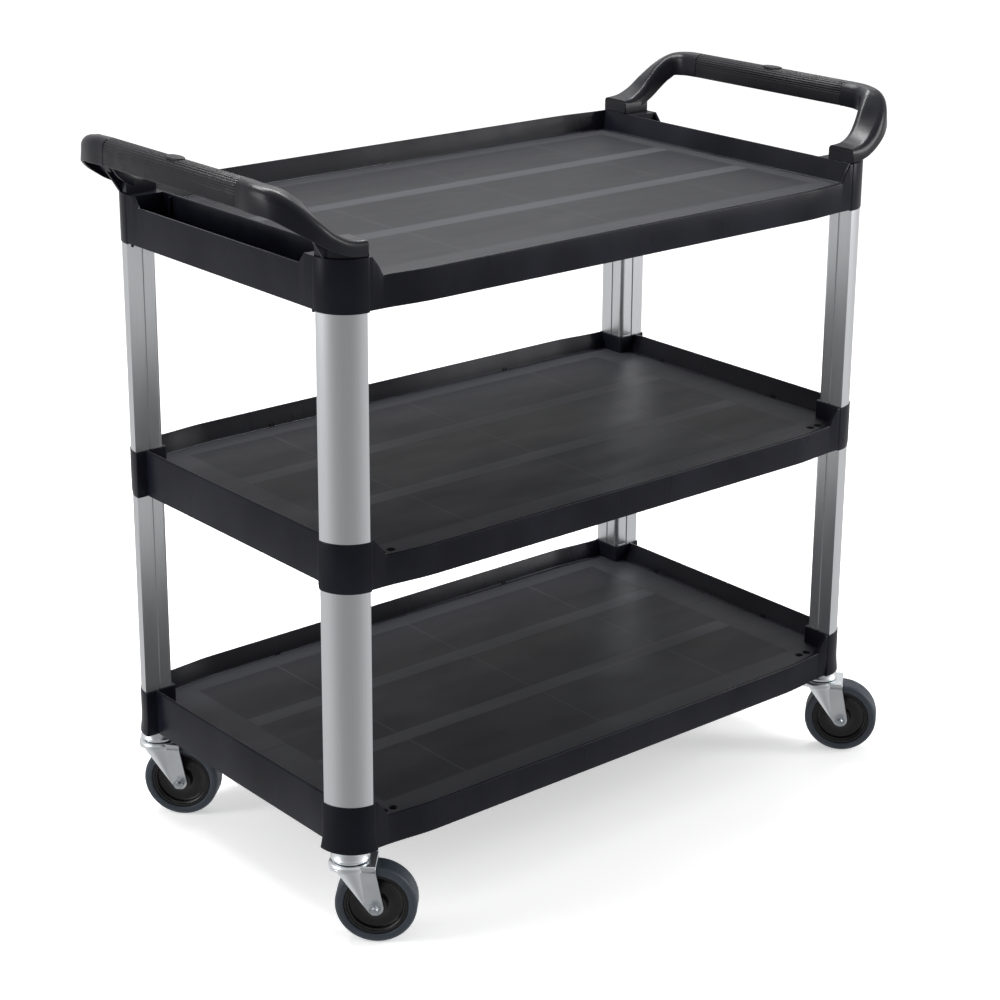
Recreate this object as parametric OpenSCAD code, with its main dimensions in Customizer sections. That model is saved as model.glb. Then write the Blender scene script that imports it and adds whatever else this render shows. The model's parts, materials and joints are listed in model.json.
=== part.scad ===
// Three-shelf service trolley: moulded shelves on hollow aluminium corner posts,
// a push handle at each end and four swivel castors.
// Frame: +X along the length, +Y to the tall back side, +Z up, floor at z = 0.

/* [Shelves] */
// Height of the bottom shelf's lower edge above the floor
shelf_base_z = 122; // [118:1:130]
// Distance from one shelf to the next
shelf_pitch = 339; // [200:1:420]
// Height of a shelf moulding, lower edge to corner top
shelf_h = 62.5; // [56:0.5:75]
// Height of the top shelf moulding
top_shelf_h = 64.5; // [58:0.5:78]
// Height of the loading surface above the lower edge
floor_h = 38; // [30:1:42]
// Thickness of the loading surface
floor_t = 3.5; // [2.5:0.5:5]
// Height of the low front lip above the lower edge
lip_h = 41; // [40:1:50]
// Thickness of the shelf walls
wall = 4; // [3:0.5:5]
// Half depth of the shelf at the middle of its long sides
belly_y = 251; // [248:1:256]

/* [Posts] */
// Half length over the posts
post_x = 447; // [400:1:520]
// Half depth over the posts
post_y = 244; // [220:1:246]
// Leg of the quarter-round post section
post_leg = 42.5; // [38:0.5:48]
// Wall of the post extrusion
post_wall = 2.4; // [1.8:0.1:3]
// Length of post that each moulded spigot fills
spigot_len = 12; // [10:1:16]

/* [Handles] */
// Distance of the grip's centreline from the middle
grip_x = 498; // [490:1:520]
// Height of the grip's centreline above the floor
grip_z = 934; // [925:1:945]
// Width of the grip
grip_w = 27; // [22:0.5:32]
// Height of the grip
grip_h = 33; // [26:0.5:36]
// Half length of the straight ribbed grip
grip_half = 150; // [120:1:165]

/* [Castors] */
// Wheel diameter
wheel_d = 101.6; // [90:0.1:104]
// Tread width
tread_w = 32; // [24:1:34]
// Distance of a swivel axis from the middle, lengthwise
swivel_x = 420; // [390:1:425]
// Distance of a swivel axis from the middle, across
swivel_y = 217; // [200:1:222]
// Distance that the wheel trails its swivel axis
trail = 32; // [25:1:38]
// Radius of the fork crown
crown_r = 27; // [24:0.5:30]
// Clear distance between the fork legs
fork_gap = 38; // [38:0.5:44]
// Sheet thickness of the fork
fork_t = 3; // [2:0.5:4]

/* [Hidden] */
$fn = 64;
shelf_z = [for (i = [0:2]) shelf_base_z + i * shelf_pitch];
top_z = shelf_z[2] + top_shelf_h;
post_cx = post_x - post_leg;
post_cy = post_y - post_leg;
// a collar stands this much proud of its post, and reaches this far past it
collar_proud = 1;
collar_past = 4.5;
collar_r = post_leg + collar_proud;
// the side walls of the lower shelves sit back from the collars, the top one's hardly
end_inset = 12.5;
top_end_inset = 1.5;
// where the long sides swell out from the collars to full depth
swell_from = 395;
swell_to = 310;
swell_root_y = post_y + 0.5;
// the slopes that drop from the collars to the low front lip
lip_slope_top = 397;
lip_slope_foot = 382;
// trough at each end of the top shelf
trough_inner_x = 404;
trough_floor_h = 6;
trough_lip_h = 51;
trough_half = 182;
trough_slope = 10;
// ribs below the loading surface
rib_t = 3;
rib_h = 10;
rib_rows = [-165, -55, 55, 165];
rib_cross = [-200, 0, 200];
// drain holes at the front corners of the loading surface
drain_x = 362;
drain_y = 227;
drain_pitch = 15;
drain_r = 4;
// spigot wall and its play in the post
spigot_wall = 2.6;
spigot_play = 0.3;
inner_corner_r = 6;
// groove along the middle of each flat face of a post
groove_w = 3;
groove_deep = 1.2;
groove_at = 21;
groove_back = 6;
// where the handle's stub and screw stand in a corner's own frame
stub_x = 18;
stub_r = 9;
stub_deep = 16;
screw_r = 3;
screw_head_r = 6;
screw_head_h = 4;
screw_reach = 3;
// rounding of the handle's lower edges
handle_low_r = 4;
// raised oval pad at the middle of each grip
pad_len = 34;
pad_w = 17;
pad_h = 1;
// castor stack, heights above the floor
wheel_r = wheel_d / 2;
race_low = 107.8;
race_r = 24.5;
race_edge_r = 3.5;
race_high = 116;
race_neck_r = 17;
crown_top = 106.3;
crown_under = 103.4;
crown_low = 92;
crown_end = 33;
leg_front = [-16, 100];
leg_back = [31.5, 105];
leg_end_r = 10;
ball_r = 2.5;
ball_z = 107.6;
ball_ring_r = 18;
ball_count = 16;
stem_r = 6;
stem_len = 34;
stem_fit = 0.06;
rivet_r = 9;
rivet_low = 99.5;
rivet_gap = 0.4;
axle_r = 4;
axle_hole_fit = 0.1;
bush_r = 7.5;
bush_fit = 0.06;
hub_r = 40;
hub_len = 36.4;
hub_boss_r = 14;
hub_web = 10;
hub_rim_r = 33;
hub_rim_w = 28;
tyre_shoulder_r = 5;
nut_af = 13;
nut_h = 6.5;
bolt_head_h = 5.3;
thread_out = 3;

// corner name, side along X, side along Y, heading of the wheel at rest
CORNERS = [
    ["front_left", -1, -1, -43],
    ["rear_left", -1, 1, -48],
    ["front_right", 1, -1, -50],
    ["rear_right", 1, 1, 130]
];

// ---------- helpers ----------

function smooth(t) = let (u = min(1, max(0, t))) u * u * (3 - 2 * u);

// half depth of a long side at distance x from the middle
function side_y(x) = swell_root_y
    + (belly_y - swell_root_y) * smooth((swell_from - abs(x)) / (swell_from - swell_to));

// tangent point on a circle, seen from point p, on the side given by s
function tangent_point(p, c, r, s) =
    let (d = p - c)
    let (a = atan2(d[1], d[0]) + s * acos(r / norm(d)))
    c + r * [cos(a), sin(a)];

// puts a corner's own frame, +X and +Y pointing outwards, at a post's inner corner
module at_corner(sx, sy) {
    translate([sx * post_cx, sy * post_cy, 0])
        mirror([sx < 0 ? 1 : 0, 0, 0])
            mirror([0, sy < 0 ? 1 : 0, 0])
                children();
}

module at_corners() {
    for (c = CORNERS)
        at_corner(c[1], c[2])
            children();
}

// quarter disc with a rounded inner corner; inset shrinks every side
module quarter_round(r, inset = 0, corner_r = inner_corner_r) {
    e = max(0.5, corner_r - inset);
    difference() {
        intersection() {
            circle(r = r - inset);
            translate([inset, inset])
                square(r);
        }
        translate([inset - 1, inset - 1])
            square(e + 1);
    }
    intersection() {
        translate([inset + e, inset + e])
            circle(r = e);
        translate([inset, inset])
            square(e + 0.01);
    }
}

module collar_plan(inset = 0) {
    r = collar_r - inset;
    intersection() {
        circle(r = r);
        square(r);
    }
    translate([-collar_past, -collar_past])
        square([collar_past + r, collar_past]);
    translate([-collar_past, -collar_past])
        square([collar_past, collar_past + r]);
}

// ---------- shelves ----------

// plan of a shelf between its collars
module shelf_plan(end_x, inset = 0) {
    span = swell_from + 2;
    steps = 24;
    xs = [for (i = [0:steps]) swell_from - (swell_from - swell_to) * i / steps];
    right = [for (x = xs) [x, side_y(x) - inset]];
    left = [for (i = [steps:-1:0]) [-xs[i], side_y(xs[i]) - inset]];
    half = concat([[span, swell_root_y - inset]], right, left, [[-span, swell_root_y - inset]]);
    polygon(concat(half, [for (i = [len(half) - 1:-1:0]) [half[i][0], -half[i][1]]]));
    square([2 * (end_x - inset), 2 * (post_y - collar_r + collar_proud)], center = true);
    square([2 * (post_cx - collar_past + 1), 2 * (swell_root_y - inset)], center = true);
}

// cuts the front wall down to the low lip, with a slope at each end
module front_lip_cut(h) {
    translate([0, -post_y + 12, 0])
        rotate([90, 0, 0])
            linear_extrude(height = 30)
                polygon([
                    [-lip_slope_top, h + 1], [-lip_slope_top, h], [-lip_slope_foot, lip_h],
                    [lip_slope_foot, lip_h], [lip_slope_top, h], [lip_slope_top, h + 1]
                ]);
}

module ribs(reach_x) {
    low = floor_h - floor_t - rib_h;
    for (y = rib_rows)
        translate([-reach_x, y - rib_t / 2, low])
            cube([2 * reach_x, rib_t, rib_h + 1]);
    for (x = rib_cross)
        translate([x - rib_t / 2, -swell_root_y + wall - 1, low])
            cube([rib_t, 2 * (swell_root_y - wall + 1), rib_h + 1]);
}

module drains() {
    for (sx = [-1, 1])
        for (i = [0, 1])
            translate([sx * (drain_x + i * drain_pitch), -drain_y, floor_h - floor_t - 1])
                cylinder(r = drain_r, h = floor_t + 2);
}

// moulded spigot that fills the end of a post
module spigot() {
    gap = post_wall + groove_deep + spigot_play;
    linear_extrude(height = spigot_len)
        difference() {
            quarter_round(post_leg, gap);
            quarter_round(post_leg, gap + spigot_wall);
        }
}

module collar_shell(h) {
    linear_extrude(height = h)
        difference() {
            collar_plan();
            quarter_round(post_leg, wall);
        }
}

// skirt, loading surface and ribs of one shelf, lower edge at z = 0
module shelf_pan(end_x, h) {
    difference() {
        linear_extrude(height = h)
            shelf_plan(end_x);
        translate([0, 0, -1])
            linear_extrude(height = floor_h - floor_t + 1)
                shelf_plan(end_x, wall);
        translate([0, 0, floor_h])
            linear_extrude(height = h)
                shelf_plan(end_x, wall);
        front_lip_cut(h);
        drains();
        at_corners()
            translate([0, 0, -1])
                linear_extrude(height = h + 2)
                    collar_plan(0.5);
    }
}

module lower_shelf(z, has_spigot_below) {
    end_x = post_x - end_inset;
    translate([0, 0, z]) {
        shelf_pan(end_x, shelf_h);
        ribs(end_x - wall + 1);
        at_corners() {
            collar_shell(shelf_h);
            translate([0, 0, shelf_h - 1])
                spigot();
            if (has_spigot_below)
                translate([0, 0, 1 - spigot_len])
                    spigot();
        }
    }
}

// boss that takes a castor stem, in a corner's own frame
module stem_boss() {
    translate([swivel_x - post_cx, swivel_y - post_cy, 0])
        difference() {
            cylinder(r = 11.4, h = stem_len + 6);
            translate([0, 0, -1])
                cylinder(r = stem_r + 0.1, h = stem_len + 3);
        }
}

module stem_floor() {
    difference() {
        linear_extrude(height = wall)
            quarter_round(post_leg, wall - 0.5);
        translate([swivel_x - post_cx, swivel_y - post_cy, -1])
            cylinder(r = stem_r + 0.1, h = wall + 2);
    }
}

module bottom_shelf() {
    color([0.09, 0.09, 0.11]) {
        lower_shelf(shelf_z[0], false);
        translate([0, 0, shelf_z[0]])
            at_corners() {
                stem_floor();
                stem_boss();
            }
    }
}

module middle_shelf() {
    color([0.09, 0.09, 0.11])
        lower_shelf(shelf_z[1], true);
}

// open trough between the low outer wall and the tall inner wall
module trough_cut() {
    outer = post_x - top_end_inset - wall;
    for (s = [0, 1])
        mirror([s, 0, 0]) {
            translate([trough_inner_x, -trough_half, trough_floor_h])
                cube([outer - trough_inner_x, 2 * trough_half, top_shelf_h]);
            translate([outer + wall + 1, 0, 0])
                rotate([90, 0, -90])
                    linear_extrude(height = wall + 2)
                        polygon([
                            [-trough_half, top_shelf_h + 1], [-trough_half, top_shelf_h],
                            [-trough_half + trough_slope, trough_lip_h],
                            [trough_half - trough_slope, trough_lip_h],
                            [trough_half, top_shelf_h], [trough_half, top_shelf_h + 1]
                        ]);
        }
}

// inner wall and floor of both troughs
module trough_blocks() {
    outer = post_x - top_end_inset - wall;
    reach_y = post_cy - collar_past + 1;
    for (s = [0, 1])
        mirror([s, 0, 0]) {
            translate([trough_inner_x - wall, -reach_y, 0])
                cube([wall, 2 * reach_y, top_shelf_h]);
            translate([trough_inner_x - 1, -reach_y, 0])
                cube([outer - trough_inner_x + 2, 2 * reach_y, trough_floor_h]);
        }
}

// solid top of a collar, bored for the handle's stub
module collar_cap() {
    difference() {
        linear_extrude(height = wall)
            quarter_round(post_leg, wall - 0.5);
        translate([stub_x, stub_x, -1])
            cylinder(r = stub_r + 0.1, h = wall + 2);
    }
}

module top_shelf() {
    color([0.09, 0.09, 0.11])
        translate([0, 0, shelf_z[2]]) {
            difference() {
                union() {
                    shelf_pan(post_x - top_end_inset, top_shelf_h);
                    trough_blocks();
                }
                trough_cut();
            }
            ribs(trough_inner_x - wall + 1);
            at_corners() {
                collar_shell(top_shelf_h);
                translate([0, 0, 1 - spigot_len])
                    spigot();
                translate([0, 0, top_shelf_h - wall])
                    collar_cap();
            }
        }
}

// ---------- posts ----------

module post_section() {
    difference() {
        quarter_round(post_leg);
        difference() {
            quarter_round(post_leg, post_wall);
            translate([groove_at - groove_back / 2, 0])
                square([groove_back, post_wall + groove_deep]);
            translate([0, groove_at - groove_back / 2])
                square([post_wall + groove_deep, groove_back]);
        }
        translate([groove_at - groove_w / 2, -1])
            square([groove_w, 1 + groove_deep]);
        translate([-1, groove_at - groove_w / 2])
            square([1 + groove_deep, groove_w]);
    }
}

module post(c, low, high) {
    color([0.75, 0.76, 0.78])
        at_corner(c[1], c[2])
            translate([0, 0, low])
                linear_extrude(height = high - low)
                    post_section();
}

module lower_post(c) { post(c, shelf_z[0] + shelf_h, shelf_z[1]); }

module upper_post(c) { post(c, shelf_z[1] + shelf_h, shelf_z[2]); }

// ---------- handles ----------

// point on a Catmull-Rom curve through four points
function curve(a, b, c, d, t) = 0.5 * (2 * b + (c - a) * t
    + (2 * a - 5 * b + 4 * c - d) * t * t + (3 * b - a - 3 * c + d) * t * t * t);

function unit(v) = v / norm(v);

function cross_z(t) = unit([t[1], -t[0], 0]);

// ring of a rounded rectangle, w across and h up, around p with heading t;
// the edges below are rounded no more than handle_low_r
function ring(p, t, w, h, r) =
    let (s = cross_z(t))
    let (u = cross(s, t))
    [for (q = [0:3])
        for (k = [0:4])
            let (a = 90 * q + 22.5 * k)
            let (e = q < 2 ? r : min(r, handle_low_r))
            let (cx = (q == 0 || q == 3 ? 1 : -1) * (w / 2 - e))
            let (cy = (q < 2 ? 1 : -1) * (h / 2 - e))
            p + s * (cx + e * cos(a)) + u * (cy + e * sin(a))];

// half of the handle's centreline, from the foot to the middle of the grip,
// each point with the section's width, height and edge radius
HANDLE = [
    [[385, 222, top_z + 9.5], 44, 19, 3],
    [[400, 222, top_z + 9.5], 44, 19, 3],
    [[424, 222, top_z + 12], 44, 21, 4],
    [[445, 220, top_z + 21], 43, 24, 7],
    [[463, 215.5, top_z + 38], 42, 26, 9],
    [[478.5, 206.5, top_z + 54.5], 39, 28, 11],
    [[491, 193, grip_z - 4], 33, 31, 12],
    [[grip_x, 172, grip_z - 1], 28, grip_h, 12],
    [[grip_x, grip_half, grip_z], grip_w, grip_h, 12],
    [[grip_x, grip_half - 25, grip_z], grip_w, grip_h, 12],
    [[grip_x, 0, grip_z], grip_w, grip_h, 12]
];
HANDLE_STEPS = 5;

function handle_at(i, t) = [for (k = [0:3])
    curve(HANDLE[i - 1][k], HANDLE[i][k], HANDLE[i + 1][k], HANDLE[i + 2][k], t)];

module handle_tube() {
    last = len(HANDLE) - 3;
    stations = concat(
        [for (i = [1:last]) for (j = [0:HANDLE_STEPS - 1]) handle_at(i, j / HANDLE_STEPS)],
        [HANDLE[last + 1], HANDLE[last + 2]]
    );
    n = len(stations);
    heading = [for (i = [0:n - 1])
        unit(stations[min(n - 1, i + 1)][0] - stations[max(0, i - 1)][0])];
    half = [for (i = [0:n - 1])
        ring(stations[i][0], heading[i], stations[i][1], stations[i][2], stations[i][3])];
    other = [for (i = [n - 2:-1:0]) [for (p = half[i]) [p[0], -p[1], p[2]]]];
    rings = concat(half, other);
    m = len(rings[0]);
    count = len(rings);
    sides = [for (i = [0:count - 2]) for (k = [0:m - 1])
        let (a = i * m + k)
        let (b = i * m + (k + 1) % m)
        [a, b, b + m, a + m]];
    ends = [[for (k = [m - 1:-1:0]) k], [for (k = [0:m - 1]) (count - 1) * m + k]];
    polyhedron(points = [for (r = rings) for (p = r) p], faces = concat(sides, ends));
}

// block under each end of the handle, in a corner's own frame, with its hollow stub
module handle_foot() {
    stand_in = 1.5;
    translate([0, 0, top_z])
        linear_extrude(height = 9)
            intersection() {
                circle(r = post_leg - stand_in);
                translate([-collar_past + 2, 0])
                    square([post_leg + collar_past, post_leg]);
            }
    translate([stub_x, stub_x, top_z - stub_deep])
        difference() {
            cylinder(r = stub_r, h = stub_deep + 1);
            translate([0, 0, -1])
                cylinder(r = screw_r + 0.1, h = stub_deep);
        }
}

module oval_pad() {
    translate([grip_x, 0, grip_z + grip_h / 2 - 2])
        linear_extrude(height = 2 + pad_h) {
            square([pad_w, pad_len - pad_w], center = true);
            for (s = [-1, 1])
                translate([0, s * (pad_len - pad_w) / 2])
                    circle(r = pad_w / 2);
        }
}

module handle(side) {
    color([0.08, 0.08, 0.1]) {
        mirror([side < 0 ? 1 : 0, 0, 0]) {
            handle_tube();
            oval_pad();
        }
        for (sy = [-1, 1])
            at_corner(side, sy)
                handle_foot();
    }
}

// screws that draw the handles down, seen only inside the top collars
module handle_screws() {
    color([0.6, 0.6, 0.62])
        at_corners()
            translate([stub_x, stub_x, top_z - stub_deep]) {
                translate([0, 0, -screw_head_h])
                    cylinder(r = screw_head_r, h = screw_head_h);
                cylinder(r = screw_r, h = stub_deep - screw_reach);
            }
}

// ---------- castors ----------

// puts a castor's own frame, +X towards its trailing wheel, on its swivel axis
module at_caster(c) {
    translate([c[1] * swivel_x, c[2] * swivel_y, 0])
        rotate([0, 0, c[3]])
            children();
}

// turns a solid along +Z onto the axle, centred on the wheel
module on_axle(c) {
    at_caster(c)
        translate([trail, 0, wheel_r])
            rotate([90, 0, 0])
                children();
}

module ball_groove(r) {
    translate([0, 0, ball_z])
        rotate_extrude()
            translate([ball_ring_r, 0])
                circle(r = r);
}

// profile of the neck between the upper race and the shelf
module race_neck() {
    translate([0, race_high - 1])
        square([race_neck_r, shelf_z[0] - race_high + 1]);
}

// threaded stem with the fixed upper race, riveted through the crown
module caster_stem(c) {
    color([0.72, 0.74, 0.76])
        at_caster(c) {
            translate([0, 0, rivet_low])
                cylinder(r = rivet_r, h = crown_under - rivet_gap - rivet_low);
            translate([0, 0, rivet_low])
                cylinder(r = stem_r, h = shelf_z[0] + stem_len - rivet_low);
            difference() {
                rotate_extrude() {
                    translate([0, race_low])
                        square([race_r - race_edge_r, race_high - race_low]);
                    translate([0, race_low + race_edge_r])
                        square([race_r, race_high - race_low - 2 * race_edge_r]);
                    for (z = [race_low + race_edge_r, race_high - race_edge_r])
                        translate([race_r - race_edge_r, z])
                            circle(r = race_edge_r);
                    race_neck();
                }
                ball_groove(ball_r + 0.05);
            }
        }
}

module ball_ring(c) {
    color([0.8, 0.8, 0.82])
        at_caster(c)
            for (i = [0:ball_count - 1])
                rotate([0, 0, 360 * i / ball_count])
                    translate([ball_ring_r, 0, ball_z])
                        sphere(r = ball_r);
}

// side view of one fork leg, wheel axis at the lower end
module leg_outline() {
    axle = [trail, wheel_r];
    front = tangent_point(leg_front, axle, leg_end_r, 1);
    back = tangent_point(leg_back, axle, leg_end_r, -1);
    difference() {
        union() {
            polygon([leg_front, front, axle, back, leg_back, [leg_back[0], crown_under + 1],
                [leg_front[0], crown_under + 1]]);
            translate(axle)
                circle(r = leg_end_r);
        }
        translate(axle)
            circle(r = axle_r + axle_hole_fit);
    }
}

// pressed crown and two legs
module fork(c) {
    color([0.74, 0.76, 0.78])
        at_caster(c) {
            difference() {
                union() {
                    translate([0, 0, crown_low])
                        cylinder(r = crown_r, h = crown_top - crown_low);
                    translate([0, -fork_gap / 2 - fork_t, crown_low])
                        cube([crown_end, fork_gap + 2 * fork_t, crown_top - crown_low]);
                }
                translate([0, 0, crown_low - 1])
                    cylinder(r = crown_r - fork_t, h = crown_under - crown_low + 1);
                translate([0, -fork_gap / 2, crown_low - 1])
                    cube([crown_end + 1, fork_gap, crown_under - crown_low + 1]);
                ball_groove(ball_r + 0.3);
                translate([0, 0, crown_under - 1])
                    cylinder(r = stem_r + stem_fit, h = 10);
            }
            for (s = [-1, 1])
                translate([0, s * (fork_gap + fork_t) / 2 + fork_t / 2, 0])
                    rotate([90, 0, 0])
                        linear_extrude(height = fork_t)
                            leg_outline();
        }
}

module axle_bolt(c) {
    out = fork_gap / 2 + fork_t;
    color([0.66, 0.68, 0.7])
        on_axle(c) {
            translate([0, 0, -out])
                cylinder(r = axle_r, h = 2 * out + nut_h + thread_out);
            translate([0, 0, -out - bolt_head_h])
                cylinder(r = nut_af / 2 / cos(30), h = bolt_head_h, $fn = 6);
        }
}

module axle_nut(c) {
    color([0.66, 0.68, 0.7])
        on_axle(c)
            translate([0, 0, fork_gap / 2 + fork_t])
                difference() {
                    cylinder(r = nut_af / 2 / cos(30), h = nut_h, $fn = 6);
                    translate([0, 0, -1])
                        cylinder(r = axle_r + 0.05, h = nut_h + 2);
                }
}

// spanner bush clamped between the legs, on which the hub runs
module axle_bush(c) {
    color([0.6, 0.6, 0.62])
        on_axle(c)
            difference() {
                cylinder(r = bush_r, h = fork_gap, center = true);
                cylinder(r = axle_r + 0.05, h = fork_gap + 2, center = true);
            }
}

module wheel_hub(c) {
    color([0.12, 0.09, 0.09])
        on_axle(c)
            difference() {
                union() {
                    cylinder(r = hub_boss_r, h = hub_len, center = true);
                    cylinder(r = hub_rim_r + 1, h = hub_web, center = true);
                    difference() {
                        cylinder(r = hub_r, h = hub_rim_w, center = true);
                        cylinder(r = hub_rim_r, h = hub_rim_w + 2, center = true);
                    }
                }
                cylinder(r = bush_r + bush_fit, h = hub_len + 2, center = true);
            }
}

module tyre(c) {
    flat = tread_w / 2 - tyre_shoulder_r;
    color([0.25, 0.29, 0.33])
        on_axle(c)
            rotate_extrude() {
                translate([hub_r, -flat])
                    square([wheel_r - hub_r, 2 * flat]);
                translate([hub_r, -tread_w / 2])
                    square([wheel_r - tyre_shoulder_r - hub_r, tread_w]);
                for (s = [-1, 1])
                    translate([wheel_r - tyre_shoulder_r, s * flat])
                        circle(r = tyre_shoulder_r);
            }
}

bottom_shelf();
middle_shelf();
top_shelf();
handle(-1);  // handle_left
handle(1);  // handle_right
handle_screws();
for (c = CORNERS) {
    lower_post(c);
    upper_post(c);
    caster_stem(c);
    ball_ring(c);
    fork(c);
    axle_bolt(c);
    axle_nut(c);
    axle_bush(c);
    wheel_hub(c);
    tyre(c);
}
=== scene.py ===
"""Three-shelf service trolley: moulded shelves, aluminium posts, push handles, swivel castors."""
import json
import math

import bmesh
import bpy
from mathutils import Matrix, Vector
from mathutils.geometry import tessellate_polygon


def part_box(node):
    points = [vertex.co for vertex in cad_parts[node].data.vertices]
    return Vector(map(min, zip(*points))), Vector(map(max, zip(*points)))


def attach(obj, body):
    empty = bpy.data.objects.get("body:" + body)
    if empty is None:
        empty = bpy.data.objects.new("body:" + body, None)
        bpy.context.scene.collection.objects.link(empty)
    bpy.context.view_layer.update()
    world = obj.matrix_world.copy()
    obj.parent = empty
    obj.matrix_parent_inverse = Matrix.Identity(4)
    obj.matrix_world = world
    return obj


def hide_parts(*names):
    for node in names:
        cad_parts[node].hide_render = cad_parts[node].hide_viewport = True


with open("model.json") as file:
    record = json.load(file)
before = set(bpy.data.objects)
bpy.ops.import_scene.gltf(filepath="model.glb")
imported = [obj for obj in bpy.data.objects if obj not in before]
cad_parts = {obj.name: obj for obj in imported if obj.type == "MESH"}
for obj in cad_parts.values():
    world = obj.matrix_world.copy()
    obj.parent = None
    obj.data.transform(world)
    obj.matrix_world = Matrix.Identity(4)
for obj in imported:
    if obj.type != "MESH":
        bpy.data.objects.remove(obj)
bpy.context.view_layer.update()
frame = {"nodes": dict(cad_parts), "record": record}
MM = 0.001

# ---------- sizes, from the frame, in metres ----------

BODY = "cart"
CORNERS = {
    "front_left": (-1, -1), "rear_left": (-1, 1), "front_right": (1, -1), "rear_right": (1, 1),
}
JOINTS = {j["name"]: j for j in frame["record"]["behaviour"]["joints"]}


def low(node, axis):
    """Lower bound of a CAD node along an axis."""
    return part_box(node)[0][axis]


def high(node, axis):
    """Upper bound of a CAD node along an axis."""
    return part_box(node)[1][axis]


POST_X = high("upper_post_front_right", 0)
POST_Y = high("upper_post_rear_left", 1)
POST_LEG = POST_X - low("upper_post_front_right", 0)
POST_CX = POST_X - POST_LEG
POST_CY = POST_Y - POST_LEG
BELLY_Y = high("top_shelf", 1)
TOP_Z = high("top_shelf", 2)
SHELF_LOW = {
    "bottom_shelf": low("bottom_shelf", 2),
    "middle_shelf": high("lower_post_front_left", 2),
    "top_shelf": high("upper_post_front_left", 2),
}
SHELF_TALL = {
    "bottom_shelf": low("lower_post_front_left", 2) - SHELF_LOW["bottom_shelf"],
    "middle_shelf": low("upper_post_front_left", 2) - SHELF_LOW["middle_shelf"],
    "top_shelf": TOP_Z - SHELF_LOW["top_shelf"],
}
FLOOR_H = 38 * MM
FLOOR_T = 3.5 * MM
LIP_H = 41 * MM
WALL = 4 * MM
WALL_LIFT = 1.5 * MM
COLLAR_PROUD = 1 * MM
COLLAR_PAST = 3 * MM
# how far the walls run on inside the collars
INTO_COLLAR = 6 * MM
LONG_REACH = POST_CX - COLLAR_PAST + INTO_COLLAR
END_REACH = POST_CY - COLLAR_PAST + INTO_COLLAR
END_X = POST_X - 12.5 * MM
TOP_END_X = POST_X + 0.6 * MM
SWELL_FROM = 395 * MM
SWELL_TO = 310 * MM
SWELL_ROOT_Y = POST_Y + 0.5 * MM
LIP_SLOPE_TOP = 397 * MM
LIP_SLOPE_FOOT = 382 * MM
# how far a wall's inner face leans in for each unit of its height
SIDE_LEAN = 0.34
END_LEAN = 0.46
# height of a full wall above the floor it stands on
WALL_RISE = SHELF_TALL["middle_shelf"] - FLOOR_H


# ---------- small maths ----------

def smooth(t):
    """Eased step from 0 to 1."""
    u = min(1.0, max(0.0, t))
    return u * u * (3 - 2 * u)


def arc(cx, cy, r, start, end, steps):
    """Points of an arc in a plane, angles in degrees."""
    out = []
    for i in range(steps + 1):
        a = math.radians(start + (end - start) * i / steps)
        out.append((cx + r * math.cos(a), cy + r * math.sin(a)))
    return out


def circle(cx, cy, r, count):
    """Points round a circle in a plane."""
    return [(cx + r * math.cos(a), cy + r * math.sin(a))
            for a in (2 * math.pi * i / count for i in range(count))]


def lift(points, z):
    """Points of a plane, at one height."""
    return [(x, y, z) for x, y in points]


def in_mm(points):
    """Points that are listed in millimetres."""
    return [tuple(v * MM for v in point) for point in points]


def side_y(x):
    """Half depth of a long side at distance x from the middle."""
    return SWELL_ROOT_Y + (BELLY_Y - SWELL_ROOT_Y) * smooth(
        (SWELL_FROM - abs(x)) / (SWELL_FROM - SWELL_TO))


def corner_frame(sx, sy):
    """A corner's own frame, +X and +Y pointing outwards, at the post's inner corner."""
    return Matrix.Translation((sx * POST_CX, sy * POST_CY, 0)) @ Matrix.Diagonal((sx, sy, 1, 1))


# ---------- meshes ----------

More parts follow.
